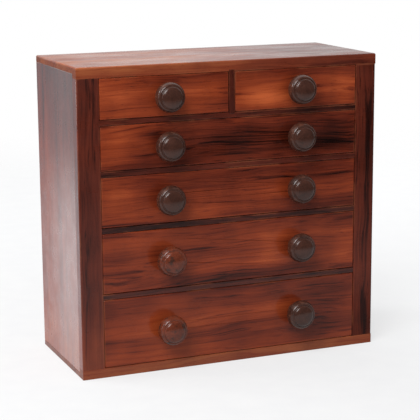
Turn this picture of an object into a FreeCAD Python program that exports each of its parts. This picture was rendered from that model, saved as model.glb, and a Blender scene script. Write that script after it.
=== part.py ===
import FreeCAD, Part
import Sketcher
import math
import os
import re

# A small chest of two short and four long graduated drawers.
# Millimetres, +Z up, fronts facing -Y, standing on z = 0 with the whole box centred on x = y = 0.

# Driving sizes
SIZES = {
    # case
    "case_width": 300,
    "case_depth": 125,
    "case_height": 288,
    "top_thick": 10,
    "base_thick": 9,
    "side_thick": 10,
    "back_thick": 4,
    "rebate_depth": 4,
    "stile_width": 21,
    "stile_thick": 10,
    "divider_thick": 5,
    "centre_thick": 6,
    "centre_housing": 1.5,
    "side_housing": 3,
    "edge_round": 1.5,
    # clear height of each row of drawers but the lowest, which takes what is left
    "top_row": 38,
    "second_row": 42,
    "third_row": 47,
    "fourth_row": 57,
    # drawers
    "drawer_gap": 0.4,
    "rear_gap": 3,
    "front_thick": 9,
    "front_round": 0.8,
    "wall_thick": 5,
    "wall_drop": 1,
    "rear_drop": 2,
    "rear_thick": 5,
    "bottom_thick": 2.5,
    "bottom_lift": 4,
    "groove_depth": 2,
    "groove_play": 0.2,
    # dovetails
    "lap": 3,
    "pin_width": 3,
    "tail_slope": 0.17,
    "tail_pitch": 17,
    "glue_line": 0.05,
    # guides and stops inside the case
    "guide_height": 8,
    "stop_width": 14,
    "stop_length": 5,
    "stop_height": 2.5,
    "stop_inset": 25,
    "stop_gap": 0.2,
    # turned knobs
    "knob_reach": 22,
    "knob_head_radius": 14,
    "knob_head_height": 10,
    "knob_neck_radius": 4.5,
    "knob_flange_radius": 8.5,
    "knob_flange_height": 2,
    "knob_cove_height": 4,
    "knob_crown_radius": 4,
    "spigot_radius": 3.5,
}

# Rows of drawers from the top down, and the flats that stand for the round of a knob
ROWS = ("top_row", "second_row", "third_row", "fourth_row", "bottom_row")
KNOB_FLATS = 24

doc = FreeCAD.newDocument("ChestOfDrawers")
sheet = doc.addObject("Spreadsheet::Sheet", "Sizes")
for line, (alias, value) in enumerate(SIZES.items(), start=1):
    sheet.set(f"A{line}", alias)
    sheet.set(f"B{line}", str(value))
    sheet.setAlias(f"B{line}", alias)
doc.recompute()

nodes = []


# Expressions in the sheet's names
def with_sheet(text):
    """Put the sheet's name before every alias in an expression."""
    return re.sub(r"[a-z_]\w*", lambda m: f"Sizes.{m[0]}" if m[0] in SIZES else m[0], text)


def number(text):
    """Present value of an expression."""
    return float(sheet.evalExpression(with_sheet(text)))


def bind(thing, **expressions):
    """Tie properties of one object to expressions."""
    for name, text in expressions.items():
        thing.setExpression(name, with_sheet(text))


def place(thing, x, y, z):
    """Tie the position of one object to expressions."""
    for axis, text in zip("xyz", (x, y, z)):
        thing.setExpression(f"Placement.Base.{axis}", with_sheet(text))


# Sketches and bodies
def new_body(name):
    """Start a sub-part of its own."""
    body = doc.addObject("PartDesign::Body", name)
    body.Label = name
    nodes.append(body)
    return body


def sketch_on(body, name, plane, offset="0"):
    """Empty sketch on an origin plane of its body, moved along that plane's own axis."""
    sketch = body.newObject("Sketcher::SketchObject", name)
    origin_plane = next(f for f in body.Origin.OriginFeatures if f.Role == plane)
    sketch.AttachmentSupport = [(origin_plane, "")]
    sketch.MapMode = "FlatFace"
    sign = "-" if plane == "XZ_Plane" else ""
    sketch.setExpression("AttachmentOffset.Base.z", with_sheet(f"{sign}({offset})"))
    return sketch


def draw_outline(sketch, corners):
    """Closed outline of straight lines through corners (u, v), each tied to its two expressions."""
    at = [FreeCAD.Vector(number(u), number(v), 0) for u, v in corners]
    edges = [sketch.addGeometry(Part.LineSegment(a, b)) for a, b in zip(at, at[1:] + at[:1])]
    for edge, after in zip(edges, edges[1:] + edges[:1]):
        sketch.addConstraint(Sketcher.Constraint("Coincident", edge, 2, after, 1))
    for edge, point, (u, v) in zip(edges, at, corners):
        for kind, axis, value, text in (("DistanceX", -2, point.x, u), ("DistanceY", -1, point.y, v)):
            if abs(value) < 1e-9:
                sketch.addConstraint(Sketcher.Constraint("PointOnObject", edge, 1, axis))
                continue
            key = sketch.addConstraint(Sketcher.Constraint(kind, -1, 1, edge, 1, value))
            sketch.setExpression(f"Constraints[{key}]", with_sheet(text))


def rectangle(u0, v0, u1, v1):
    """Corners of an upright rectangle."""
    return [(u0, v0), (u1, v0), (u1, v1), (u0, v1)]


def pad(body, name, plane, outline, length):
    """Solid that rises from an origin plane towards the positive axis."""
    sketch = sketch_on(body, f"{name}_sketch", plane)
    draw_outline(sketch, outline)
    feature = body.newObject("PartDesign::Pad", name)
    feature.Profile = sketch
    feature.Reversed = plane == "XZ_Plane"
    bind(feature, Length=length)
    return feature


cuts = []


def pocket(body, name, plane, offset, outlines, length):
    """Cut that starts at an offset from an origin plane and runs towards the positive axis."""
    sketch = sketch_on(body, f"{name}_sketch", plane, offset)
    for outline in outlines:
        draw_outline(sketch, outline)
    feature = body.newObject("PartDesign::Pocket", name)
    feature.Profile = sketch
    feature.Reversed = plane != "XZ_Plane"
    bind(feature, Length=length)
    cuts.append(feature)
    return feature


def round_edges(body, feature, name, radius, wanted):
    """Round the straight edges of a feature whose middle point is wanted."""
    doc.recompute()
    edges = feature.Shape.Edges
    chosen = [f"Edge{i}" for i, edge in enumerate(edges, start=1) if wanted(edge.CenterOfMass)]
    fillet = body.newObject("PartDesign::Fillet", name)
    fillet.Base = (feature, chosen)
    bind(fillet, Radius=radius)
    return fillet


def mirrored(source, name, plane_x):
    """Copy of a sub-part on the other side of an upright plane across the chest."""
    copy = doc.addObject("Part::Mirroring", name)
    copy.Label = name
    copy.Source = source
    copy.Normal = FreeCAD.Vector(1, 0, 0)
    copy.setExpression("Base.x", with_sheet(plane_x))
    nodes.append(copy)
    return copy


def blocks(name, boxes):
    """Group of glued blocks, each (x, y, z, width, depth, height)."""
    parts = []
    for count, (x, y, z, width, depth, height) in enumerate(boxes, start=1):
        block = doc.addObject("Part::Box", f"{name}_block_{count}")
        bind(block, Length=width, Width=depth, Height=height)
        place(block, x, y, z)
        parts.append(block)
    group = doc.addObject("Part::Compound", name)
    group.Label = name
    group.Links = parts
    nodes.append(group)
    return group


# Places that the pieces share
LEFT_X = "(-case_width / 2)"
FRONT_Y = "((knob_reach - case_depth) / 2)"
BEHIND_STILES_Y = f"({FRONT_Y} + stile_thick)"
INNER_DEPTH = "(case_depth - back_thick)"
OPENING_WIDTH = "(case_width - 2 * stile_width)"
SHORT_OPENING = f"(({OPENING_WIDTH} - centre_thick) / 2)"
UNDER_TOP = "(case_height - top_thick)"
SIDE_FOOT = "(base_thick - rebate_depth)"
SIDE_HEIGHT = f"({UNDER_TOP} + rebate_depth - {SIDE_FOOT})"
KNOB_SPREAD = f"(({SHORT_OPENING} + centre_thick) / 2)"


def row_ceiling(row):
    """Height of the underside of the board above a row of drawers."""
    above = "".join(f" - {r} - divider_thick" for r in ROWS[: ROWS.index(row)])
    return f"({UNDER_TOP}{above})"


def row_floor(row):
    """Height of the board that a row of drawers runs on."""
    return "base_thick" if row == ROWS[-1] else f"({row_ceiling(row)} - {row})"


# Case
def rebate_outline():
    """Strip that the sides and the back panel enter, in a top or base board seen from above."""
    inner_x = "(case_width - side_thick)"
    inner_y = "(case_depth - back_thick)"
    return [
        ("0", "stile_thick"),
        ("side_thick", "stile_thick"),
        ("side_thick", inner_y),
        (inner_x, inner_y),
        (inner_x, "stile_thick"),
        ("case_width", "stile_thick"),
        ("case_width", "case_depth"),
        ("0", "case_depth"),
    ]


def make_top_and_base():
    """Boards above and below, rebated for the sides and the back panel."""
    plan = rectangle("0", "0", "case_width", "case_depth")

    top = new_body("top_board")
    board = pad(top, "top_blank", "XY_Plane", plan, "top_thick")
    upper = number("top_thick") - 1e-6
    rear = number("case_depth") - 1e-6
    round_edges(top, board, "top_edges", "edge_round", lambda p: p.z > upper and p.y < rear)
    pocket(top, "top_rebate", "XY_Plane", "0", [rebate_outline()], "rebate_depth")
    groove_x = "((case_width - centre_thick) / 2)"
    groove = rectangle(groove_x, "0", f"({groove_x} + centre_thick)", INNER_DEPTH)
    pocket(top, "centre_groove", "XY_Plane", "0", [groove], "centre_housing")
    place(top, LEFT_X, FRONT_Y, UNDER_TOP)

    base = new_body("base_board")
    pad(base, "base_blank", "XY_Plane", plan, "base_thick")
    pocket(base, "base_rebate", "XY_Plane", SIDE_FOOT, [rebate_outline()], "rebate_depth")
    place(base, LEFT_X, FRONT_Y, "0")


def make_sides():
    """Upright boards, housed for the dividers and rebated for the back panel."""
    side = new_body("left_side")
    depth = "(case_depth - stile_thick)"
    rebate_x = "(side_thick - rebate_depth)"
    plan = [
        ("0", "0"),
        ("side_thick", "0"),
        ("side_thick", f"({depth} - back_thick)"),
        (rebate_x, f"({depth} - back_thick)"),
        (rebate_x, depth),
        ("0", depth),
    ]
    pad(side, "side_blank", "XY_Plane", plan, SIDE_HEIGHT)
    housings = []
    for row in ROWS[:-1]:
        upper = f"({row_floor(row)} - {SIDE_FOOT})"
        housings.append(rectangle("0", f"({upper} - divider_thick)", f"({depth} - back_thick)", upper))
    pocket(side, "housings", "YZ_Plane", "(side_thick - side_housing)", housings, "side_housing")
    place(side, LEFT_X, BEHIND_STILES_Y, SIDE_FOOT)
    mirrored(side, "right_side", "0")


def make_stiles():
    """Front posts that cover the edges of the sides."""
    stile = new_body("left_stile")
    plan = rectangle("0", "0", "stile_width", "stile_thick")
    post = pad(stile, "stile_blank", "XY_Plane", plan, f"({UNDER_TOP} - base_thick)")
    round_edges(stile, post, "stile_edge", "edge_round", lambda p: p.x < 1e-6 and p.y < 1e-6)
    place(stile, LEFT_X, FRONT_Y, "base_thick")
    mirrored(stile, "right_stile", "0")


def make_back_panel():
    """Thin panel let into the rebates round the back of the case."""
    panel = new_body("back_panel")
    width = "(case_width - 2 * (side_thick - rebate_depth))"
    pad(panel, "panel", "XZ_Plane", rectangle("0", "0", width, SIDE_HEIGHT), "back_thick")
    place(panel, f"({LEFT_X} + side_thick - rebate_depth)", f"({FRONT_Y} + {INNER_DEPTH})", SIDE_FOOT)


def make_dividers():
    """Boards between the rows, notched round the stiles and housed in the sides."""
    width = "(case_width - 2 * (side_thick - side_housing))"
    notch = "(stile_width - side_thick + side_housing)"
    plan = [
        (notch, "0"),
        (f"({width} - {notch})", "0"),
        (f"({width} - {notch})", "stile_thick"),
        (width, "stile_thick"),
        (width, INNER_DEPTH),
        ("0", INNER_DEPTH),
        ("0", "stile_thick"),
        (notch, "stile_thick"),
    ]
    for count, row in enumerate(ROWS[:-1], start=1):
        divider = new_body(f"divider_{count}")
        pad(divider, "divider_blank", "XY_Plane", plan, "divider_thick")
        if row == ROWS[0]:
            groove_x = f"(({width} - centre_thick) / 2)"
            groove = rectangle(groove_x, "0", f"({groove_x} + centre_thick)", INNER_DEPTH)
            depth = "(divider_thick - centre_housing)"
            pocket(divider, "centre_groove", "XY_Plane", depth, [groove], "centre_housing")
        place(
            divider,
            f"({LEFT_X} + side_thick - side_housing)",
            FRONT_Y,
            f"({row_floor(row)} - divider_thick)",
        )


def make_centre_divider():
    """Upright board between the two short drawers, grooved into the boards above and below."""
    board = new_body("centre_divider")
    height = "(top_row + 2 * centre_housing)"
    pad(board, "centre_board", "XY_Plane", rectangle("0", "0", "centre_thick", INNER_DEPTH), height)
    place(board, "(-centre_thick / 2)", FRONT_Y, f"({row_floor(ROWS[0])} - centre_housing)")


def make_guides():
    """Strips beside each row that fill the step between the sides and the stiles."""
    left_x = f"({LEFT_X} + side_thick)"
    width = "(stile_width - side_thick)"
    depth = f"({INNER_DEPTH} - stile_thick)"
    strips = [(left_x, BEHIND_STILES_Y, row_floor(r), width, depth, "guide_height") for r in ROWS]
    guides = blocks("left_guides", strips)
    mirrored(guides, "right_guides", "0")


def make_stops():
    """Low blocks behind each drawer front, which the closed drawer comes up to."""
    y = f"({FRONT_Y} + front_thick + stop_gap)"
    outer = f"({OPENING_WIDTH} / 2 - stop_inset)"
    inner = "(centre_thick / 2 + stop_inset)"
    size = ("stop_width", "stop_length", "stop_height")
    for count, row in enumerate(ROWS, start=1):
        left_edges = [f"(-{outer})", f"({outer} - stop_width)"]
        if row == ROWS[0]:
            left_edges += [f"(-{inner} - stop_width)", inner]
        blocks(f"drawer_stops_{count}", [(x, y, row_floor(row), *size) for x in left_edges])


# Drawers
def tail_count(low, high):
    """Number of tails that suits a joint between two heights."""
    return max(1, round(number(f"({high}) - ({low})") / number("tail_pitch")))


def tail_corners(low, high, length, root_y, tip_y, slack="0"):
    """Corners of each tail of a joint, from the lowest up: lower root, lower tip, upper tip, upper root."""
    count = tail_count(low, high)
    pitch = f"((({high}) - ({low})) / {count})"
    tip_half = f"(({pitch} - pin_width) / 2 + {slack})"
    root_half = f"({tip_half} - {length} * tail_slope)"
    tails = []
    for index in range(count):
        middle = f"(({low}) + {index + 0.5} * {pitch})"
        tails.append([
            (root_y, f"({middle} - {root_half})"),
            (tip_y, f"({middle} - {tip_half})"),
            (tip_y, f"({middle} + {tip_half})"),
            (root_y, f"({middle} + {root_half})"),
        ])
    return tails


class Drawer:
    """Expressions for one drawer, measured from the lower left corner of its front's face."""

    def __init__(self, name, row, left_x, opening_width):
        self.name = name
        self.x = f"({left_x} + drawer_gap)"
        self.y = FRONT_Y
        self.z = f"({row_floor(row)} + drawer_gap)"
        self.width = f"({opening_width} - 2 * drawer_gap)"
        self.height = f"({row_ceiling(row)} - {row_floor(row)} - 2 * drawer_gap)"
        self.length = f"({INNER_DEPTH} - rear_gap)"
        self.wall_height = f"({self.height} - wall_drop)"
        self.rear_low = "(bottom_lift + bottom_thick + groove_play)"
        self.rear_high = f"({self.wall_height} - rear_drop)"
        self.rear_y = f"({self.length} - rear_thick)"
        self.middle_x = f"({self.x} + {self.width} / 2)"

    def put(self, thing, x="0", y="0", z="0"):
        """Place a piece by its own corner."""
        place(thing, f"({self.x} + {x})", f"({self.y} + {y})", f"({self.z} + {z})")


FRONT_TAIL = "(front_thick - lap)"


def make_drawer_front(drawer, knob_places):
    """Front board with lapped dovetail sockets, a groove for the bottom and holes for the knobs."""
    front = new_body(f"{drawer.name}_front")
    face = rectangle("0", "0", drawer.width, drawer.height)
    blank = pad(front, "blank", "XZ_Plane", face, "front_thick")
    round_edges(front, blank, "face_edges", "front_round", lambda p: p.y < 1e-6)
    sockets = tail_corners(
        "0", drawer.wall_height, FRONT_TAIL, "front_thick", "(lap - glue_line)", "glue_line"
    )
    pocket(front, "left_sockets", "YZ_Plane", "0", sockets, "wall_thick")
    pocket(front, "right_sockets", "YZ_Plane", f"({drawer.width} - wall_thick)", sockets, "wall_thick")
    groove = rectangle(
        "(front_thick - groove_depth)", "bottom_lift",
        "front_thick", "(bottom_lift + bottom_thick + groove_play)",
    )
    inset = "(wall_thick - groove_depth)"
    pocket(front, "bottom_groove", "YZ_Plane", inset, [groove], f"({drawer.width} - 2 * {inset})")

    holes = sketch_on(front, "knob_hole_sketch", "XZ_Plane")
    for x in knob_places:
        centre = FreeCAD.Vector(number(x), number(f"{drawer.height} / 2"), 0)
        radius = number("spigot_radius + glue_line")
        hole = holes.addGeometry(Part.Circle(centre, FreeCAD.Vector(0, 0, 1), radius))
        for kind, ends, value, text in (
            ("DistanceX", (-1, 1, hole, 3), centre.x, x),
            ("DistanceY", (-1, 1, hole, 3), centre.y, f"{drawer.height} / 2"),
            ("Radius", (hole,), radius, "spigot_radius + glue_line"),
        ):
            key = holes.addConstraint(Sketcher.Constraint(kind, *ends, value))
            holes.setExpression(f"Constraints[{key}]", with_sheet(text))
    bore = front.newObject("PartDesign::Pocket", "knob_holes")
    bore.Profile = holes
    bind(bore, Length="front_thick")
    cuts.append(bore)
    drawer.put(front)


def make_drawer_walls(drawer):
    """Two side boards with tails at both ends and a groove for the bottom."""
    wall = new_body(f"{drawer.name}_left_side")
    front_tails = tail_corners("0", drawer.wall_height, FRONT_TAIL, "front_thick", "lap")
    rear_tails = tail_corners(drawer.rear_low, drawer.rear_high, "rear_thick", drawer.rear_y, drawer.length)
    outline = [("front_thick", "0"), (drawer.length, "0")]
    outline += [(drawer.length, drawer.rear_low), (drawer.rear_y, drawer.rear_low)]
    outline += [corner for tail in rear_tails for corner in tail]
    outline += [(drawer.rear_y, drawer.rear_high), (drawer.length, drawer.rear_high)]
    outline += [(drawer.length, drawer.wall_height), ("front_thick", drawer.wall_height)]
    outline += [corner for tail in reversed(front_tails) for corner in reversed(tail)]
    pad(wall, "wall", "YZ_Plane", outline, "wall_thick")
    groove = rectangle(
        "(lap - glue_line)", "bottom_lift",
        f"({drawer.length} + glue_line)", "(bottom_lift + bottom_thick + groove_play)",
    )
    pocket(wall, "bottom_groove", "YZ_Plane", "(wall_thick - groove_depth)", [groove], "groove_depth")
    drawer.put(wall)
    mirrored(wall, f"{drawer.name}_right_side", drawer.middle_x)


def make_drawer_rear(drawer):
    """Back board that stands on the bottom, its pins showing through the sides."""
    rear = new_body(f"{drawer.name}_back")
    height = f"({drawer.rear_high} - {drawer.rear_low})"
    face = rectangle("0", "0", drawer.width, height)
    pad(rear, "blank", "XZ_Plane", face, "rear_thick")
    sockets = tail_corners("0", height, "rear_thick", "0", "rear_thick", "glue_line")
    pocket(rear, "left_sockets", "YZ_Plane", "0", sockets, "wall_thick")
    pocket(rear, "right_sockets", "YZ_Plane", f"({drawer.width} - wall_thick)", sockets, "wall_thick")
    drawer.put(rear, y=drawer.rear_y, z=drawer.rear_low)


def make_drawer_bottom(drawer):
    """Thin bottom that slides into the grooves and passes under the back board."""
    bottom = new_body(f"{drawer.name}_bottom")
    inset = "(wall_thick - groove_depth + groove_play)"
    start = "(front_thick - groove_depth + groove_play)"
    plan = rectangle("0", "0", f"({drawer.width} - 2 * {inset})", f"({drawer.length} - {start})")
    pad(bottom, "panel", "XY_Plane", plan, "bottom_thick")
    drawer.put(bottom, x=inset, y=start, z="bottom_lift")


def make_drawer(name, row, left_x, opening_width, knob_places):
    """All the boards of one drawer."""
    drawer = Drawer(name, row, left_x, opening_width)
    make_drawer_front(drawer, knob_places)
    make_drawer_walls(drawer)
    make_drawer_rear(drawer)
    make_drawer_bottom(drawer)
    return drawer


# Knobs
def bend(start, end, turn):
    """Points of a quarter ellipse between two (radius, height) points, its centre beside the start."""
    points = []
    for angle in turn:
        across = math.sin(math.radians(angle))
        along = 1 - math.cos(math.radians(angle))
        points.append((start[0] + (end[0] - start[0]) * along, start[1] + (end[1] - start[1]) * across))
    return points


def knob_rings():
    """Radius and height of each ring of a turned knob, from its spigot's end out to the crown."""
    face = number("front_thick")
    spigot = number("spigot_radius")
    flange = (number("knob_flange_radius"), face + number("knob_flange_height"))
    neck = (number("knob_neck_radius"), flange[1] + number("knob_cove_height"))
    crown = face + number("knob_reach")
    rim = (number("knob_head_radius"), crown - number("knob_head_height"))
    rings = [(spigot, 0), (spigot, face), (flange[0], face), flange]
    rings += reversed(bend(neck, flange, (30, 60)))
    rings += [neck]
    rings += reversed(bend(rim, neck, (30, 60)))
    rings += [rim]
    rings += bend(rim, (number("knob_crown_radius"), crown), (25, 50, 70, 90))
    return rings


def turned_solid(rings):
    """Closed solid through rings of points, with one flat face between each pair of neighbours."""
    turns = [2 * math.pi * index / KNOB_FLATS for index in range(KNOB_FLATS + 1)]
    loops = [[FreeCAD.Vector(r * math.cos(a), r * math.sin(a), z) for a in turns] for r, z in rings]
    faces = [Part.Face(Part.makePolygon(loop)) for loop in (loops[0], loops[-1])]
    for low, high in zip(loops, loops[1:]):
        for index in range(KNOB_FLATS):
            corners = [low[index], low[index + 1], high[index + 1], high[index], low[index]]
            faces.append(Part.Face(Part.makePolygon(corners)))
    shell = Part.makeShell(faces)
    shell.sewShape()
    return Part.makeSolid(shell)


def make_knob(name, drawer, x):
    """Turned knob whose spigot is glued through the drawer front."""
    knob = doc.addObject("Part::Feature", name)
    knob.Label = name
    knob.Shape = turned_solid(knob_rings())
    knob.Placement.Rotation = FreeCAD.Rotation(FreeCAD.Vector(1, 0, 0), 90)
    place(knob, f"({drawer.x} + {x})", f"({drawer.y} + front_thick)", f"({drawer.z} + {drawer.height} / 2)")
    nodes.append(knob)


def make_all_drawers():
    """Two short drawers in the top row, then one long drawer in each row below."""
    opening_x = f"(-{OPENING_WIDTH} / 2)"
    for side, left_x in (("left", opening_x), ("right", "(centre_thick / 2)")):
        name = f"upper_{side}_drawer"
        middle = f"({SHORT_OPENING} / 2 - drawer_gap)"
        drawer = make_drawer(name, ROWS[0], left_x, SHORT_OPENING, [middle])
        make_knob(f"{name}_knob", drawer, middle)
    long_names = ("second_drawer", "third_drawer", "fourth_drawer", "bottom_drawer")
    for row, name in zip(ROWS[1:], long_names):
        middle = f"({OPENING_WIDTH} / 2 - drawer_gap)"
        places = {"left": f"({middle} - {KNOB_SPREAD})", "right": f"({middle} + {KNOB_SPREAD})"}
        drawer = make_drawer(name, row, opening_x, OPENING_WIDTH, list(places.values()))
        for side, x in places.items():
            make_knob(f"{name}_{side}_knob", drawer, x)


def check_document():
    """Stop if any object failed, any cut missed or any sub-part is empty or broken."""
    for thing in doc.Objects:
        if {"Invalid", "Error"} & set(thing.State):
            raise RuntimeError(f"{thing.Label} failed: {thing.State}")
    for cut in cuts:
        if cut.Shape.Volume > cut.BaseFeature.Shape.Volume - 1e-3:
            raise RuntimeError(f"{cut.Label} of {cut.getParentGeoFeatureGroup().Label} cuts nothing")
    for node in nodes:
        if node.Shape.isNull() or not node.Shape.isValid() or not node.Shape.Solids:
            raise RuntimeError(f"{node.Label} has no sound solid")


def write_parts():
    """One file for each sub-part, named by its label."""
    os.makedirs("parts", exist_ok=True)
    for node in nodes:
        node.Shape.exportStep(f"parts/{node.Label}.step")
    print(f"{len(nodes)} sub-parts written")


make_top_and_base()
make_sides()
make_stiles()
make_back_panel()
make_dividers()
make_centre_divider()
make_guides()
make_stops()
make_all_drawers()
doc.recompute()
check_document()
write_parts()
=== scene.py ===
import math
from dataclasses import dataclass, field

import bmesh
import bpy
from mathutils import Matrix, Vector


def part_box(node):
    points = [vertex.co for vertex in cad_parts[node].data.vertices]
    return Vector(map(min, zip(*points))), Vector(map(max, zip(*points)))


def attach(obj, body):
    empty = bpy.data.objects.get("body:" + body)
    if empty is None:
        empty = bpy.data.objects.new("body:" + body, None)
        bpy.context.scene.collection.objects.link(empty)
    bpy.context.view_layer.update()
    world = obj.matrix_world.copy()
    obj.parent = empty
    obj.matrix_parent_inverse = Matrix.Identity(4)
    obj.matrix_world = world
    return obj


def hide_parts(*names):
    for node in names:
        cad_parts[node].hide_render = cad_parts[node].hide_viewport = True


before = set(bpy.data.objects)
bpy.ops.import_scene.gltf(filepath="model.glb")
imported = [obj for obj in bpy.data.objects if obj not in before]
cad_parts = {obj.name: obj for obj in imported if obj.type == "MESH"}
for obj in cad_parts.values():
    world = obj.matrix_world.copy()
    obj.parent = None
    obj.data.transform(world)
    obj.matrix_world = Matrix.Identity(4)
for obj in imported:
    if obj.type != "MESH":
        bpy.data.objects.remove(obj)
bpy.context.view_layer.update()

# The frame and the scene are in metres. Looks and knobs are worked out in millimetres.
MM = 0.001
MM_PER_METRE = 1000

# Index of each socket of a mixing node that works on colours
MIX_FACTOR, MIX_FIRST, MIX_SECOND, MIX_RESULT = 0, 6, 7, 2

# Noise and its colours lie around a half
HALF = (0.5, 0.5, 0.5)


# Node trees
class Tree:
    """A node tree with short ways to add nodes and to link them."""

    def __init__(self, tree):
        self.tree = tree

    def put(self, socket, value):
        """Link an input to an output, or give it a constant."""
        if isinstance(value, bpy.types.NodeSocket):
            self.tree.links.new(value, socket)
        else:
            socket.default_value = value

    def add(self, kind, inputs=None, **settings):
        """New node with its settings, and its inputs linked or set."""
        node = self.tree.nodes.new(kind)
        for name, value in settings.items():
            setattr(node, name, value)
        for key, value in (inputs or {}).items():
            self.put(node.inputs[key], value)
        return node

    def group(self, tree, **inputs):
        """Outputs of a node group with its inputs linked or set."""
        return self.add("ShaderNodeGroup", inputs, node_tree=tree).outputs

    def math(self, operation, *values, clamp=False):
        """Output of a math node."""
        inputs = dict(enumerate(values))
        return self.add("ShaderNodeMath", inputs, operation=operation, use_clamp=clamp).outputs[0]

    def vector(self, operation, *values):
        """Output of a vector math node, a number where the operation gives one."""
        node = self.add("ShaderNodeVectorMath", dict(enumerate(values)), operation=operation)
        return node.outputs["Value" if operation in ("LENGTH", "DISTANCE", "DOT_PRODUCT") else "Vector"]

    def times(self, vector, factors):
        """Vector with each axis multiplied by its own factor, or all three by one number."""
        if isinstance(factors, (int, float)):
            factors = (factors,) * 3
        return self.vector("MULTIPLY", vector, factors)

    def in_lengths(self, vector, *lengths):
        """Vector counted in a length for each axis."""
        return self.times(vector, tuple(1 / length for length in lengths))

    def split(self, vector):
        """Outputs with the three parts of a vector."""
        return self.add("ShaderNodeSeparateXYZ", {0: vector}).outputs

    def join(self, *parts):
        """Vector made of up to three parts."""
        return self.add("ShaderNodeCombineXYZ", dict(enumerate(parts))).outputs[0]

    def remap(self, value, low, high, to_low=0.0, to_high=1.0):
        """Value taken smoothly from one range to another and held there."""
        node = self.add(
            "ShaderNodeMapRange",
            {"Value": value, "From Min": low, "From Max": high, "To Min": to_low, "To Max": to_high},
            interpolation_type="SMOOTHSTEP",
        )
        return node.outputs["Result"]

    def noise_node(self, vector, scale, detail, roughness):
        """Noise node at points given in its own unit."""
        inputs = {"Vector": vector, "Scale": scale, "Detail": detail, "Roughness": roughness}
        return self.add("ShaderNodeTexNoise", inputs)

    def noise(self, vector, scale=1.0, detail=2.0, roughness=0.5):
        """Noise between 0 and 1."""
        return self.noise_node(vector, scale, detail, roughness).outputs["Fac"]

    def drift(self, vector, reach, detail=2.0):
        """Vector that wanders around zero, up to half of reach either way."""
        wander = self.noise_node(vector, 1.0, detail, 0.5).outputs["Color"]
        return self.times(self.vector("SUBTRACT", wander, HALF), reach)

    def ramp(self, value, stops):
        """Colour ramp through (position, colour) stops."""
        node = self.add("ShaderNodeValToRGB", {"Fac": value})
        elements = node.color_ramp.elements
        while len(elements) < len(stops):
            elements.new(0.5)
        for element, (position, colour) in zip(elements, stops):
            element.position = position
            element.color = (*colour, 1)
        return node.outputs["Color"]

    def mix(self, factor, first, second):
        """First colour, an output, turned towards the second one by a factor."""
        if not isinstance(second, bpy.types.NodeSocket):
            second = (*second, 1)
        inputs = {MIX_FACTOR: factor, MIX_FIRST: first, MIX_SECOND: second}
        return self.add("ShaderNodeMix", inputs, data_type="RGBA").outputs[MIX_RESULT]


def new_material(name):
    """Empty material and its node tree."""
    material = bpy.data.materials.new(name)
    material.use_nodes = True
    material.node_tree.nodes.clear()
    return material, Tree(material.node_tree)


def new_group(name, inputs, outputs):
    """Empty node group, its input sockets by name and a function that closes it."""
    tree = bpy.data.node_groups.new(name, "ShaderNodeTree")
    kinds = {"number": "NodeSocketFloat", "vector": "NodeSocketVector"}
    for key, kind in inputs.items():
        tree.interface.new_socket(key, in_out="INPUT", socket_type=kinds[kind])
    for key in outputs:
        tree.interface.new_socket(key, in_out="OUTPUT", socket_type=kinds["number"])
    build = Tree(tree)
    start = build.add("NodeGroupInput")

    def close(**results):
        """Join the results to the outputs, and hand over the finished group."""
        build.add("NodeGroupOutput", results)
        return tree

    return build, start.outputs, close


def point_in_mm(n):
    """Point of the surface in the frame of the whole chest, in millimetres."""
    where = n.add("ShaderNodeTexCoord").outputs["Object"]
    return n.times(where, MM_PER_METRE)


# Figure of the wood
def make_patch_group():
    """Soft oval patch in the tone of a board, for its figure and for painted light: amount times a bell
    over (x, z) in millimetres.
    """
    inputs = {"Point": "vector", "Centre": "vector", "Reach": "vector", "Amount": "number"}
    n, given, close = new_group("figure_and_painted_light_patch", inputs, ["Value"])
    away = n.vector("DIVIDE", n.vector("SUBTRACT", given["Point"], given["Centre"]), given["Reach"])
    bell = n.math("EXPONENT", n.math("MULTIPLY", n.vector("DOT_PRODUCT", away, away), -1.0))
    return close(Value=n.math("MULTIPLY", bell, given["Amount"]))


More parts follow.
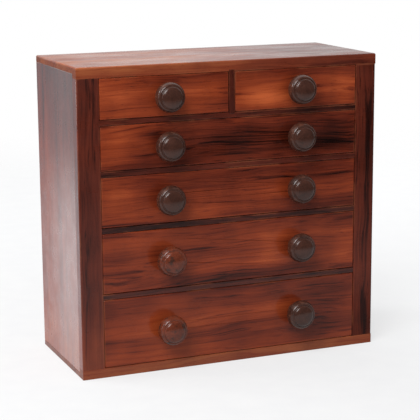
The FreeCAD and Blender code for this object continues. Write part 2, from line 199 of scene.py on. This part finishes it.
def make_wood_group():
    """Figure of dense tropical wood: broad bands, growth rings, dark streaks, fibres and open pores.

    Grain is a point in millimetres with x along the grain. Tone is the level without figure.
    """
    inputs = {"Grain": "vector", "Tone": "number", "Bands": "number", "Streaks": "number",
              "Rings": "number", "Pores": "number"}
    n, given, close = new_group("wood_figure", inputs, ["Level", "Height"])
    point = given["Grain"]
    bent = n.vector("ADD", point, n.drift(n.in_lengths(point, 150, 60, 60), reach=(0, 26, 26)))

    def layer(source, along, across, detail, roughness=0.5):
        """Noise with spots of about these lengths along the grain and across it."""
        return n.noise(n.in_lengths(source, along, across, across), detail=detail, roughness=roughness)

    bands = layer(bent, along=330, across=17, detail=3, roughness=0.55)
    ribbon = layer(bent, along=26, across=34, detail=1)
    fibre = layer(point, along=34, across=0.55, detail=3, roughness=0.6)
    pore = n.remap(layer(point, along=4.5, across=0.34, detail=1), 0.66, 0.74)

    ring_width = 3.4
    ring_jitter = n.math("MULTIPLY", layer(bent, along=220, across=22, detail=2), 7.0)
    _, across, up = n.split(bent)
    from_heart = n.vector("LENGTH", n.join(0, across, up))
    ring = n.math("ADD", n.math("DIVIDE", from_heart, ring_width), ring_jitter)
    ring = n.remap(n.math("PINGPONG", ring, 1.0), 0.62, 1.0)

    # Darker wood has more streaks
    more = n.math("MULTIPLY", n.math("SUBTRACT", 0.5, given["Tone"]), 0.28)
    streak = layer(bent, along=300, across=6.5, detail=5, roughness=0.6)
    streak = n.remap(n.math("ADD", streak, more), 0.54, 0.68)
    thin_streak = layer(bent, along=240, across=1.7, detail=3, roughness=0.55)
    thin_streak = n.remap(n.math("ADD", thin_streak, more), 0.56, 0.70)

    level = given["Tone"]
    band_gain = n.math("MULTIPLY", given["Bands"], 1.5)
    for signal, gain in ((bands, band_gain), (ribbon, 0.16), (fibre, 0.34)):
        level = n.math("ADD", level, n.math("MULTIPLY", n.math("SUBTRACT", signal, 0.5), gain))
    for signal, strength, gain in (
        (ring, "Rings", 0.13),
        (streak, "Streaks", 0.34),
        (thin_streak, "Streaks", 0.26),
        (pore, "Pores", 0.17),
    ):
        gain = n.math("MULTIPLY", given[strength], gain)
        level = n.math("SUBTRACT", level, n.math("MULTIPLY", signal, gain))

    # In the relief the fibres and the ribbon stand up and the pores are open
    open_pore = n.math("MULTIPLY", pore, given["Pores"])
    height = n.math("MULTIPLY", fibre, 0.35)
    height = n.math("SUBTRACT", height, n.math("MULTIPLY", open_pore, 0.8))
    height = n.math("ADD", height, n.math("MULTIPLY", ribbon, 0.6))
    return close(Level=level, Height=height)


def make_edge_group():
    """How near a point of a board lies to the board's edges: 1 on an edge, 0 from about Reach away."""
    inputs = {"Point": "vector", "Low": "vector", "High": "vector", "Reach": "number"}
    n, given, close = new_group("edge_mask", inputs, ["Value"])
    from_low = n.vector("SUBTRACT", given["Point"], given["Low"])
    from_high = n.vector("SUBTRACT", given["High"], given["Point"])
    x, y, z = n.split(n.vector("MINIMUM", from_low, from_high))
    # An edge is near where two of the three distances to the faces are small
    lower = n.math("MINIMUM", x, y)
    upper = n.math("MAXIMUM", x, y)
    second = n.math("MAXIMUM", lower, n.math("MINIMUM", upper, z))
    # The reach is uneven, mostly between 0.4 and 1.2 times what is given
    ragged = n.noise(given["Point"], scale=0.11, detail=4, roughness=0.65)
    reach = n.math("MULTIPLY", n.math("MULTIPLY", ragged, given["Reach"]), 1.6)
    return close(Value=n.math("SUBTRACT", 1.0, n.math("DIVIDE", second, reach), clamp=True))


patch_group = make_patch_group()
wood_group = make_wood_group()
edge_group = make_edge_group()


# Woods and finishes
@dataclass
class Wood:
    """Colours of a wood, and whether it is polished."""

    # Ramp from the darkest streak to the palest part
    figure: list
    # Tint of the ends of a board
    end_grain: tuple
    # Colour of edges that hands have rubbed
    rubbed: tuple
    polished: bool


@dataclass
class Finish:
    """Surface of a wood: strength of its pores, range of its roughness and strength of its relief."""

    pores: float
    roughness: tuple
    relief: float


POLISHED = Finish(pores=1.0, roughness=(0.24, 0.46), relief=0.30)
BARE = Finish(pores=0.7, roughness=(0.52, 0.75), relief=0.6)

WOODS = {
    "front_wood": Wood(
        figure=[
            (0.0, (0.008, 0.0018, 0.0012)),
            (0.22, (0.050, 0.0075, 0.0035)),
            (0.45, (0.165, 0.0235, 0.0090)),
            (0.68, (0.330, 0.0520, 0.0150)),
            (1.0, (0.660, 0.132, 0.036)),
        ],
        end_grain=(0.030, 0.007, 0.004),
        rubbed=(0.36, 0.085, 0.030),
        polished=True,
    ),
    "case_wood": Wood(
        figure=[
            (0.0, (0.007, 0.0018, 0.0015)),
            (0.25, (0.038, 0.0072, 0.0042)),
            (0.5, (0.130, 0.0215, 0.0105)),
            (0.75, (0.260, 0.050, 0.020)),
            (1.0, (0.460, 0.130, 0.045)),
        ],
        end_grain=(0.022, 0.006, 0.004),
        rubbed=(0.26, 0.065, 0.027),
        polished=True,
    ),
    "drawer_lining": Wood(
        figure=[
            (0.0, (0.13, 0.050, 0.020)),
            (0.35, (0.32, 0.145, 0.060)),
            (0.65, (0.49, 0.255, 0.118)),
            (1.0, (0.66, 0.41, 0.22)),
        ],
        end_grain=(0.16, 0.070, 0.030),
        rubbed=(0.60, 0.40, 0.22),
        polished=False,
    ),
    "inner_wood": Wood(
        figure=[
            (0.0, (0.075, 0.026, 0.012)),
            (0.4, (0.22, 0.085, 0.036)),
            (0.7, (0.36, 0.160, 0.070)),
            (1.0, (0.53, 0.29, 0.145)),
        ],
        end_grain=(0.08, 0.032, 0.015),
        rubbed=(0.46, 0.29, 0.15),
        polished=False,
    ),
}

# Colours of the dirt in clouds over a board, and of the dirt and painted shade round its knobs
GRIME = (0.01, 0.007, 0.006)
KNOB_GRIME_AND_SHADE = (0.012, 0.006, 0.005)

# Pins along the edges of the back panel and their stains: colours, fading rims and places, in millimetres
PIN = (0.050, 0.040, 0.036)
PIN_RIM = (0.75, 0.95)
PIN_STAIN = (0.030, 0.016, 0.010)
PIN_STAIN_RIM = (0.8, 3.2)
PIN_INSET = 4.5
PIN_PITCH_ACROSS = 46
PIN_PITCH_UP = 44

# About how far rubbing reaches in from an edge, in millimetres
EDGE_REACH = 1.7

# Depth of the relief
WOOD_RELIEF = 0.12 * MM
KNOB_RELIEF = 0.08 * MM


@dataclass
class Looks:
    """Looks of one board. Lengths and places are in millimetres, strengths mostly between 0 and 1."""

    # Level of the wood without its figure, from the darkest to the palest
    tone: float = 0.5
    # Strength of the broad bands, of the dark streaks and of the growth rings
    bands: float = 0.5
    streaks: float = 0.6
    rings: float = 0.5
    # How much the edges are rubbed
    wear: float = 1.0
    gloss: float = 0.5
    # Pale bloom of old polish, seen at a slant
    haze: float = 0.0
    # Polish that goes dull along the board: axis, from, to, share of the gloss that is left
    dull: tuple = None
    # Paler or darker patches of the tone, mostly of the figure, on the left side of painted light: x, z,
    # reach in x, reach in z, amount
    patches: list = field(default_factory=list)
    # Knobs that stand on the board, with dirt and painted shade round them: x, z, radius
    knobs: list = field(default_factory=list)
    pins: bool = False


# Materials
def grain_point(n, place, axis, seed):
    """Point in millimetres with x along the grain, moved to the board's own spot in the log."""
    parts = n.split(place)
    order = {"X": (0, 1, 2), "Y": (1, 0, 2), "Z": (2, 0, 1)}[axis]
    turned = n.join(*(parts[i] for i in order))
    shift = (seed * 733.0, 70 + (seed * 37) % 90, 45 + (seed * 53) % 110)
    return n.vector("ADD", turned, shift)


def patched_tone(n, place, looks):
    """Tone of a board with its patches, whose outlines wander."""
    if not looks.patches:
        return looks.tone
    ripple = n.drift(n.in_lengths(place, 60, 30, 22), reach=(50, 0, 14), detail=3)
    flat = n.times(n.vector("ADD", place, ripple), (1, 0, 1))
    tone = looks.tone
    for x, z, reach_x, reach_z, amount in looks.patches:
        centre = (x, 0, z)
        reach = (reach_x, 1, reach_z)
        patch = n.group(patch_group, Point=flat, Centre=centre, Reach=reach, Amount=amount)
        tone = n.math("ADD", tone, patch["Value"])
    return tone


def worn_edges(n, place, box, wear):
    """How far the finish is rubbed off along the board's edges, in uneven stretches."""
    low, high = (corner * MM_PER_METRE for corner in box)
    edge = n.group(edge_group, Point=place, Low=low, High=high, Reach=EDGE_REACH)["Value"]
    scuffed = n.remap(n.noise(place, scale=0.035, detail=3, roughness=0.6), 0.42, 0.66)
    return n.math("MULTIPLY", n.math("MULTIPLY", edge, scuffed), wear, clamp=True)


def grimed_and_knob_shaded(n, place, colour, knobs):
    """Colour with old dirt in clouds, and dirt with painted shade in a ring round the knobs."""
    clouds = n.remap(n.noise(n.times(place, 0.035), detail=4, roughness=0.6), 0.45, 0.75)
    colour = n.mix(n.math("MULTIPLY", clouds, 0.18), colour, GRIME)
    # Painted shade: a dark ring round each knob, partly dirt from hands, darkest where the knob meets the
    # front
    for x, z, radius in knobs:
        away = n.vector("DISTANCE", n.times(place, (1, 0, 1)), (x, 0, z))
        shade = n.remap(away, radius * 0.5, radius * 1.5, 0.18, 0.0)
        colour = n.mix(shade, colour, KNOB_GRIME_AND_SHADE)
    return colour


def with_end_grain(n, colour, axis, end_grain):
    """Colour that turns to that of end grain on the faces across the grain."""
    normal = n.add("ShaderNodeNewGeometry").outputs["Normal"]
    facing = n.math("ABSOLUTE", n.split(normal)["XYZ".index(axis)])
    return n.mix(n.remap(facing, 0.6, 0.95, 0.0, 0.42), colour, end_grain)


def pinned(n, place, box, colour):
    """Colour with a row of flush iron pins along each edge of an upright panel, and their stains."""
    uneven = n.drift(n.times(place, 0.03), reach=(7, 0, 7))
    x, _, z = n.split(n.vector("ADD", place, uneven))
    low, high = (corner * MM_PER_METRE for corner in box)
    rows = [
        (x, PIN_PITCH_ACROSS, z, low.z + PIN_INSET),
        (x, PIN_PITCH_ACROSS, z, high.z - PIN_INSET),
        (z, PIN_PITCH_UP, x, low.x + PIN_INSET),
        (z, PIN_PITCH_UP, x, high.x - PIN_INSET),
    ]
    nearest = None
    for along, pitch, across, line in rows:
        step = n.math("WRAP", along, -pitch / 2, pitch / 2)
        aside = n.math("SUBTRACT", across, line)
        away = n.vector("LENGTH", n.join(step, aside))
        nearest = away if nearest is None else n.math("MINIMUM", nearest, away)
    colour = n.mix(n.remap(nearest, *PIN_STAIN_RIM, 0.55, 0.0), colour, PIN_STAIN)
    return n.mix(n.remap(nearest, *PIN_RIM, 1.0, 0.0), colour, PIN)


def wood_shader(n, colour, roughness, height, strength, relief):
    """Surface of wood with a relief, without its polish."""
    bump = n.add("ShaderNodeBump", {"Height": height, "Strength": strength, "Distance": relief})
    inputs = {"Base Color": colour, "Roughness": roughness, "Normal": bump.outputs[0], "IOR": 1.5}
    return n.add("ShaderNodeBsdfPrincipled", inputs)


def polish(n, shader, place, looks):
    """Clear polish over the wood, with a bloom, and dull towards one end where the looks say so."""
    coat = shader.inputs["Coat Weight"]
    coat.default_value = looks.gloss
    if looks.dull:
        axis, start, end, left = looks.dull
        along = n.split(place)["XYZ".index(axis)]
        n.put(coat, n.remap(along, start, end, looks.gloss, looks.gloss * left))
    shader.inputs["Coat Roughness"].default_value = 0.12
    shader.inputs["Coat IOR"].default_value = 1.5
    shader.inputs["Specular IOR Level"].default_value = 0.4 * looks.gloss
    shader.inputs["Sheen Weight"].default_value = looks.haze
    shader.inputs["Sheen Roughness"].default_value = 0.35
    shader.inputs["Sheen Tint"].default_value = (0.94, 0.88, 1.0, 1)


def board_material(name, wood, axis, seed, box, looks):
    """Material of one board: its own piece of the wood's figure, worn edges, pores and polish."""
    finish = POLISHED if wood.polished else BARE
    material, n = new_material(name)
    place = point_in_mm(n)
    figure = n.group(
        wood_group,
        Grain=grain_point(n, place, axis, seed),
        Tone=patched_tone(n, place, looks),
        Bands=looks.bands,
        Streaks=looks.streaks,
        Rings=looks.rings,
        Pores=finish.pores,
    )
    worn = worn_edges(n, place, box, looks.wear)
    colour = n.mix(worn, n.ramp(figure["Level"], wood.figure), wood.rubbed)
    colour = grimed_and_knob_shaded(n, place, colour, looks.knobs)
    colour = with_end_grain(n, colour, axis, wood.end_grain)
    if looks.pins:
        colour = pinned(n, place, box, colour)

    smear = n.noise(n.times(place, (0.02, 0.05, 0.05)), detail=5, roughness=0.65)
    roughness = n.remap(smear, 0.3, 0.7, *finish.roughness)
    roughness = n.math("ADD", roughness, n.math("MULTIPLY", worn, 0.22), clamp=True)
    shader = wood_shader(n, colour, roughness, figure["Height"], finish.relief, WOOD_RELIEF)
    if wood.polished:
        polish(n, shader, place, looks)
    n.add("ShaderNodeOutputMaterial", {"Surface": shader.outputs[0]})
    return material


def knob_material(name, seed, centre, rubbed):
    """Ebonised turned knob, glossy, with faint turning lines and rubbed high spots."""
    material, n = new_material(name)
    local = n.vector("SUBTRACT", point_in_mm(n), centre * MM_PER_METRE)
    x, y, z = n.split(local)
    radius = n.vector("LENGTH", n.join(x, 0, z))
    grain = n.vector("ADD", local, (seed * 91.0, seed * 57.0, seed * 23.0))
    fibre = n.noise(n.times(grain, (0.9, 0.06, 0.9)), detail=4, roughness=0.6)
    mottle = n.noise(n.times(grain, 0.12), detail=3)
    figure = n.math("ADD", n.math("MULTIPLY", fibre, 0.6), n.math("MULTIPLY", mottle, 0.5))
    colour = n.ramp(figure, [(0.30, (0.027, 0.012, 0.009)), (0.80, (0.106, 0.037, 0.023))])
    if rubbed:
        # The finish is gone in spots, fewer of them round the neck
        wood = n.ramp(figure, [(0.32, (0.055, 0.011, 0.006)), (0.72, (0.23, 0.048, 0.020))])
        bare = n.noise(n.times(grain, 0.16), detail=5, roughness=0.62)
        sheltered = n.remap(y, -9.0, -5.5, 0.0, 0.22)
        bare = n.remap(n.math("SUBTRACT", bare, sheltered), 0.36, 0.47)
        colour = n.mix(bare, colour, wood)
    rub = n.remap(n.noise(n.times(grain, 0.3), detail=4), 0.5, 0.72)
    rim = n.remap(radius, 10.5, 13.8)
    rub = n.math("MULTIPLY", n.math("MULTIPLY", rub, rim), 0.55)
    colour = n.mix(rub, colour, (0.20, 0.075, 0.045))

    # Turning lines about 0.7 mm apart
    turning = n.math("SINE", n.math("MULTIPLY", radius, 9.0))
    height = n.math("ADD", n.math("MULTIPLY", turning, 0.25), n.math("MULTIPLY", fibre, 0.5))
    roughness = n.remap(mottle, 0.3, 0.7, 0.16, 0.32)
    shader = wood_shader(n, colour, roughness, height, 0.15, KNOB_RELIEF)
    shader.inputs["Specular IOR Level"].default_value = 0.1
    shader.inputs["Coat Weight"].default_value = 0.8
    shader.inputs["Coat Roughness"].default_value = 0.17
    n.add("ShaderNodeOutputMaterial", {"Surface": shader.outputs[0]})
    return material


# Boards of the case and of the drawers
DRAWERS = ("upper_left_drawer", "upper_right_drawer", "second_drawer", "third_drawer", "fourth_drawer",
           "bottom_drawer")

# Direction of the grain. The other boards of the case have theirs along X.
CASE_GRAIN = {
    "left_side": "Z", "right_side": "Z", "left_stile": "Z", "right_stile": "Z", "back_panel": "Z",
    "centre_divider": "Z", "left_guides": "Y", "right_guides": "Y",
}
DRAWER_GRAIN = {"front": "X", "left_side": "Y", "right_side": "Y", "back": "X", "bottom": "X"}
INNER_BOARDS = ("back_panel", "left_guides", "right_guides", "drawer_stops")

CASE_LOOKS = {
    # Painted light: the top board's tone is paler than the rest of the case, standing partly for the bright
    # reflection on its top face
    "top_board": Looks(
        tone=0.86, bands=0.4, streaks=0.5, gloss=0.30, dull=("X", -105, -145, 0.4),
        patches=[(120, 283, 100, 60, -0.30)],
    ),
    "base_board": Looks(tone=0.80, bands=0.4, streaks=0.6, gloss=0.4, dull=("X", 80, 140, 0.4)),
    # Painted light: the left side has a paler tone than the right side, a darker top and a paler foot,
    # standing in for how its polish reflects the room and the floor
    "left_side": Looks(
        tone=0.66, bands=0.5, streaks=0.6, gloss=1.0, haze=0.33, dull=("Y", -20, 62, 0.10),
        patches=[(-150, 300, 900, 75, -0.28), (-150, 18, 900, 42, 0.20)],
    ),
    "right_side": Looks(
        tone=0.54, bands=0.5, streaks=0.6, gloss=1.0, haze=0.1, dull=("Y", -25, 62, 0.3),
    ),
    "back_panel": Looks(tone=0.46, bands=0.4, streaks=0.5, pins=True),
    "left_stile": Looks(
        tone=0.50, bands=0.4, streaks=0.7, haze=0.40, dull=("Z", 200, 110, 0.7),
        patches=[(-139, 20, 60, 34, 0.22)],
    ),
    "right_stile": Looks(
        tone=0.51, bands=0.4, streaks=0.8, gloss=0.30, dull=("Z", 80, 20, 0.2),
        patches=[(139, 12, 60, 34, -0.10), (139, 190, 60, 40, -0.10)],
    ),
    "centre_divider": Looks(tone=0.42, bands=0.4, streaks=0.5),
}
OTHER_CASE_LOOKS = Looks(tone=0.38, bands=0.4, streaks=0.5)
LINING_LOOKS = Looks(tone=0.60, bands=0.6, streaks=0.6, rings=0.9, wear=0.5)

# Tone of each drawer's front, and its patches as in its looks
FRONT_FIGURE = {
    "upper_left_drawer": (0.56, [
        (-118, 262, 26, 12, 0.14),
        (-40, 261, 34, 12, 0.17),
        (-8, 256, 20, 10, -0.14),
        (-44, 244, 20, 8, 0.10),
    ]),
    "upper_right_drawer": (0.57, [
        (36, 254, 30, 12, 0.31),
        (118, 257, 16, 12, 0.14),
        (78, 262, 20, 12, -0.04),
        (44, 246, 16, 8, 0.08),
    ]),
    "second_drawer": (0.495, [
        (-108, 219, 31, 13, 0.33),
        (-38, 226, 26, 7, 0.14),
        (10, 214, 66, 14, -0.24),
        (108, 214, 34, 14, -0.24),
        (-84, 204, 14, 6, -0.16),
    ]),
    "third_drawer": (0.515, [
        (-110, 169, 29, 13, 0.24),
        (18, 160, 60, 14, 0.03),
        (116, 166, 22, 18, 0.02),
        (20, 186, 50, 5, -0.08),
        (-44, 169, 26, 20, 0.12),
        (44, 160, 16, 20, 0.05),
        (-42, 146, 28, 8, 0.13),
    ]),
    "fourth_drawer": (0.57, [
        (-116, 98, 24, 20, -0.10),
        # Darker band along the foot of this front, over the gap to the bottom drawer
        (-30, 108, 50, 5, -0.05),
        (118, 104, 18, 16, 0.12),
        (10, 84, 66, 7, -0.24),
        (-80, 127, 34, 14, 0.10),
        (42, 108, 18, 24, 0.15),
    ]),
    "bottom_drawer": (0.53, [
        # Darker band along the top of this front, over the gap to the fourth drawer
        (10, 74, 66, 6, -0.24),
        (34, 50, 40, 7, 0.09),
        (6, 24, 34, 8, -0.07),
        (-66, 42, 40, 22, 0.20),
        (98, 40, 28, 24, -0.22),
        (-118, 24, 26, 14, 0.12),
        (42, 40, 16, 22, 0.11),
        (-46, 20, 40, 10, 0.08),
    ]),
}

# Softened edges of the boards, in metres
ARRIS = 0.35 * MM
ARRIS_STEPS = 2
SHARP_ANGLE = math.radians(50)
WELD_REACH = 1e-6

# Seed of the first node. Every node of the frame takes one, and then every turned knob.
FIRST_SEED = 2


def drawer_of(node):
    """Drawer that a node belongs to, or None for a node of the case."""
    return next((d for d in DRAWERS if node.startswith(d)), None)


def front_looks(drawer):
    """Looks of a drawer's front, with dirt and painted shade round its knobs."""
    tone, patches = FRONT_FIGURE[drawer]
    boxes = [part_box(k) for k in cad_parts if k.startswith(drawer) and "knob" in k]
    half = MM_PER_METRE / 2
    knobs = []
    for low, high in boxes:
        knobs.append(((low + high).x * half, (low + high).z * half, (high - low).x * half))
    return Looks(tone=tone, streaks=0.75, wear=0.8, gloss=0.38, patches=patches, knobs=knobs)


def board_looks(node):
    """Wood, direction of the grain and looks of one board."""
    drawer = drawer_of(node)
    if drawer is None:
        wood = "inner_wood" if node.startswith(INNER_BOARDS) else "case_wood"
        return wood, CASE_GRAIN.get(node, "X"), CASE_LOOKS.get(node, OTHER_CASE_LOOKS)
    part = node[len(drawer) + 1:]
    if part == "front":
        return "front_wood", DRAWER_GRAIN[part], front_looks(drawer)
    return "drawer_lining", DRAWER_GRAIN[part], LINING_LOOKS


def soften_arrises(piece):
    """Take the sharp edges off a board."""
    weld = piece.modifiers.new("weld", "WELD")
    weld.merge_threshold = WELD_REACH
    bevel = piece.modifiers.new("arris", "BEVEL")
    bevel.width = ARRIS
    bevel.segments = ARRIS_STEPS
    bevel.limit_method = "ANGLE"
    bevel.angle_limit = SHARP_ANGLE


def dress_boards():
    """Give each board a material of its own and soft arrises."""
    for seed, (node, piece) in enumerate(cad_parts.items(), start=FIRST_SEED):
        if "knob" in node:
            continue
        wood, axis, looks = board_looks(node)
        material = board_material(node, WOODS[wood], axis, seed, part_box(node), looks)
        piece.data.materials.clear()
        piece.data.materials.append(material)
        soften_arrises(piece)


# Knob: radius, and distance out from the drawer front, in millimetres. Arcs join what stands here.
SPIGOT = [(0, -9), (3.4, -9), (3.5, -8.9), (3.5, 0)]
FLANGE = [(8.1, 0), (8.5, 0.4), (8.5, 1.4), (8.1, 1.9), (7.6, 2.1)]
NECK = (4.5, 6)
BEAD = [(4.75, 6.25), (4.95, 6.55), (4.8, 6.9)]
RIM = (14, 12)
SHOULDER = (10.8, 18.6)
CROWN_LINE = [(10.9, 18.3), (10.45, 18.35), (10.2, 18.75)]
CROWN = (0, 22)
KNOB_FACETS = 72
RUBBED_KNOBS = ("fourth_drawer_left_knob", "bottom_drawer_left_knob")


def turned_mesh(name, profile):
    """Closed mesh of revolution about the Y axis through (radius, y) points from one end to the other."""
    mesh = bpy.data.meshes.new(name)
    shape = bmesh.new()
    angles = [2 * math.pi * i / KNOB_FACETS for i in range(KNOB_FACETS)]
    rings = []
    for radius, y in profile:
        if radius == 0:
            rings.append([shape.verts.new((0, y, 0))])
        else:
            rings.append([shape.verts.new((radius * math.cos(a), y, radius * math.sin(a))) for a in angles])
    for first, second in zip(rings, rings[1:]):
        for i in range(KNOB_FACETS):
            j = (i + 1) % KNOB_FACETS
            corners = [
                first[i % len(first)],
                first[j % len(first)],
                second[j % len(second)],
                second[i % len(second)],
            ]
            kept = list(dict.fromkeys(corners))
            if len(kept) > 2:
                shape.faces.new(kept)
    bmesh.ops.recalc_face_normals(shape, faces=shape.faces)
    for face in shape.faces:
        face.smooth = True
    shape.to_mesh(mesh)
    shape.free()
    return mesh


def arc(start, end, steps, hollow=False):
    """Points of a quarter ellipse from start to end, leaving start along y, or ending along y if hollow."""
    points = []
    for step in range(1, steps + 1):
        angle = math.pi / 2 * step / steps
        if hollow:
            across, along = math.sin(angle), 1 - math.cos(angle)
        else:
            across, along = 1 - math.cos(angle), math.sin(angle)
        points.append((start[0] + (end[0] - start[0]) * across, start[1] + (end[1] - start[1]) * along))
    return points


def knob_profile():
    """Radius and distance out from the drawer front, from the spigot's end to the crown."""
    points = SPIGOT + FLANGE
    points += arc(FLANGE[-1], NECK, steps=8, hollow=True)
    points += BEAD
    points += arc(BEAD[-1], RIM, steps=14, hollow=True)
    points += arc(RIM, SHOULDER, steps=10)[:-1]
    points += CROWN_LINE
    points += arc(CROWN_LINE[-1], CROWN, steps=12)
    return points


def make_knobs():
    """Smooth turned knobs in place of the faceted ones."""
    profile = [(radius * MM, -out * MM) for radius, out in knob_profile()]
    knob_nodes = [node for node in sorted(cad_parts) if "knob" in node]
    for seed, node in enumerate(knob_nodes, start=FIRST_SEED + len(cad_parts)):
        low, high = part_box(node)
        drawer = drawer_of(node)
        face_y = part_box(f"{drawer}_front")[0].y
        centre = Vector(((low.x + high.x) / 2, face_y, (low.z + high.z) / 2))
        mesh = turned_mesh(f"{node}_turned", profile)
        mesh.transform(Matrix.Translation(centre))
        knob = bpy.data.objects.new(f"{node}_turned", mesh)
        bpy.context.scene.collection.objects.link(knob)
        knob.data.materials.append(knob_material(f"{node}_turned", seed, centre, node in RUBBED_KNOBS))
        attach(knob, drawer)
        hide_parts(node)


# Floor, surroundings, lamps and camera, in metres
FLOOR_RADIUS = 1.5
FLOOR_CENTRE = (0.1, 0.2, 0)
FLOOR_FADE = (0.48, 1.30)

# Camera fitted to the photograph's edges: turn in degrees, lens and sensor in millimetres
CAMERA_PLACE = (-0.5318, -1.2757, 0.4272)
CAMERA_YAW = 22.58
CAMERA_PITCH = 11.83
CAMERA_ROLL = -0.38
CAMERA_LENS = 124.6
SENSOR_WIDTH = 36


def floor_material():
    """Pale matt surface with some glow of its own, which turns clear towards its rim."""
    material, n = new_material("floor")
    where = n.add("ShaderNodeTexCoord").outputs["Object"]
    x, y, _ = n.split(where)
    mottle = n.noise(where, scale=40, detail=4)
    tint = n.ramp(mottle, [(0.3, (0.295, 0.295, 0.30)), (0.7, (0.315, 0.315, 0.315))])
    matt = n.add("ShaderNodeBsdfDiffuse", {"Color": tint})

    # Glow as the camera sees it, brighter to the back and to the right, and as polish mirrors it
    seen = n.remap(y, -0.75, -0.25, 0.585, 0.635)
    seen = n.math("ADD", seen, n.remap(x, -0.02, 0.24, 0.0, 0.075))
    seen = n.math("ADD", seen, n.remap(y, -0.15, 0.62, 0.0, 0.06))
    mirrored = n.remap(y, -0.42, 0.13, 0.27, 0.66)
    path = n.add("ShaderNodeLightPath").outputs
    reflected = n.math("MAXIMUM", path["Is Glossy Ray"], path["Is Transmission Ray"])
    seen = n.math("MULTIPLY", path["Is Camera Ray"], seen)
    mirrored = n.math("MULTIPLY", reflected, mirrored)
    strength = n.math("ADD", seen, mirrored)
    glow = n.add("ShaderNodeEmission", {"Color": (1, 1, 1, 1), "Strength": strength})

    both = n.add("ShaderNodeAddShader", {0: matt.outputs[0], 1: glow.outputs[0]})
    clear = n.add("ShaderNodeBsdfTransparent")
    fade = n.remap(n.vector("LENGTH", where), *FLOOR_FADE)
    surface = n.add("ShaderNodeMixShader", {0: fade, 1: both.outputs[0], 2: clear.outputs[0]})
    n.add("ShaderNodeOutputMaterial", {"Surface": surface.outputs[0]})
    return material


def make_floor():
    """Pale table top that fades out into the white surroundings."""
    mesh = bpy.data.meshes.new("floor")
    shape = bmesh.new()
    bmesh.ops.create_circle(shape, cap_ends=True, segments=96, radius=FLOOR_RADIUS)
    shape.to_mesh(mesh)
    shape.free()
    floor = bpy.data.objects.new("floor", mesh)
    floor.location = FLOOR_CENTRE
    bpy.context.scene.collection.objects.link(floor)
    floor.data.materials.append(floor_material())


def make_world():
    """White surroundings, dimmer below and on the camera's side, where a room would be."""
    world = bpy.data.worlds.new("studio")
    world.use_nodes = True
    world.node_tree.nodes.clear()
    n = Tree(world.node_tree)
    _, y, z = n.split(n.add("ShaderNodeTexCoord").outputs["Generated"])
    behind = n.remap(y, -0.35, 0.30, 0.05, 0.95)
    above = n.remap(z, -0.10, 0.02, 0.31, 1.0)
    room = n.math("MULTIPLY", behind, above)

    path = n.add("ShaderNodeLightPath").outputs
    tone = n.mix(path["Is Camera Ray"], n.join(room, room, room), (1, 1, 1))
    shown = n.add("ShaderNodeBackground", {"Color": tone, "Strength": 1.0})
    light = n.add("ShaderNodeBackground", {"Color": (0.93, 0.96, 1.0, 1), "Strength": 0.5})
    reflected = n.math("MAXIMUM", path["Is Glossy Ray"], path["Is Transmission Ray"])
    plain = n.math("MAXIMUM", path["Is Camera Ray"], reflected)
    surface = n.add("ShaderNodeMixShader", {0: plain, 1: light.outputs[0], 2: shown.outputs[0]})
    n.add("ShaderNodeOutputWorld", {"Surface": surface.outputs[0]})
    bpy.context.scene.world = world


def make_lamp(name, place, target, size, power):
    """Square soft lamp aimed at a point."""
    data = bpy.data.lights.new(name, "AREA")
    data.size = size
    data.energy = power
    lamp = bpy.data.objects.new(name, data)
    lamp.location = place
    lamp.rotation_mode = "QUATERNION"
    lamp.rotation_quaternion = (Vector(target) - Vector(place)).to_track_quat("-Z", "Y")
    bpy.context.scene.collection.objects.link(lamp)


def make_camera():
    """Camera above and to the left of the front."""
    data = bpy.data.cameras.new("camera")
    data.sensor_width = SENSOR_WIDTH
    data.lens = CAMERA_LENS
    camera = bpy.data.objects.new("camera", data)
    yaw = Matrix.Rotation(-math.radians(CAMERA_YAW), 4, "Z")
    pitch = Matrix.Rotation(math.pi / 2 - math.radians(CAMERA_PITCH), 4, "X")
    roll = Matrix.Rotation(math.radians(CAMERA_ROLL), 4, "Z")
    turn = yaw @ pitch
    camera.matrix_world = Matrix.Translation(CAMERA_PLACE) @ turn @ roll
    bpy.context.scene.collection.objects.link(camera)
    bpy.context.scene.camera = camera


dress_boards()
make_knobs()
make_floor()
make_world()
make_lamp("key", place=(-1.1, -1.1, 1.6), target=(0, 0, 0.15), size=1.2, power=30)
make_lamp("rim", place=(-1.6, 0.7, 0.8), target=(0, 0, 0.10), size=1.0, power=17)
make_camera()
bpy.context.scene.view_settings.view_transform = "Standard"
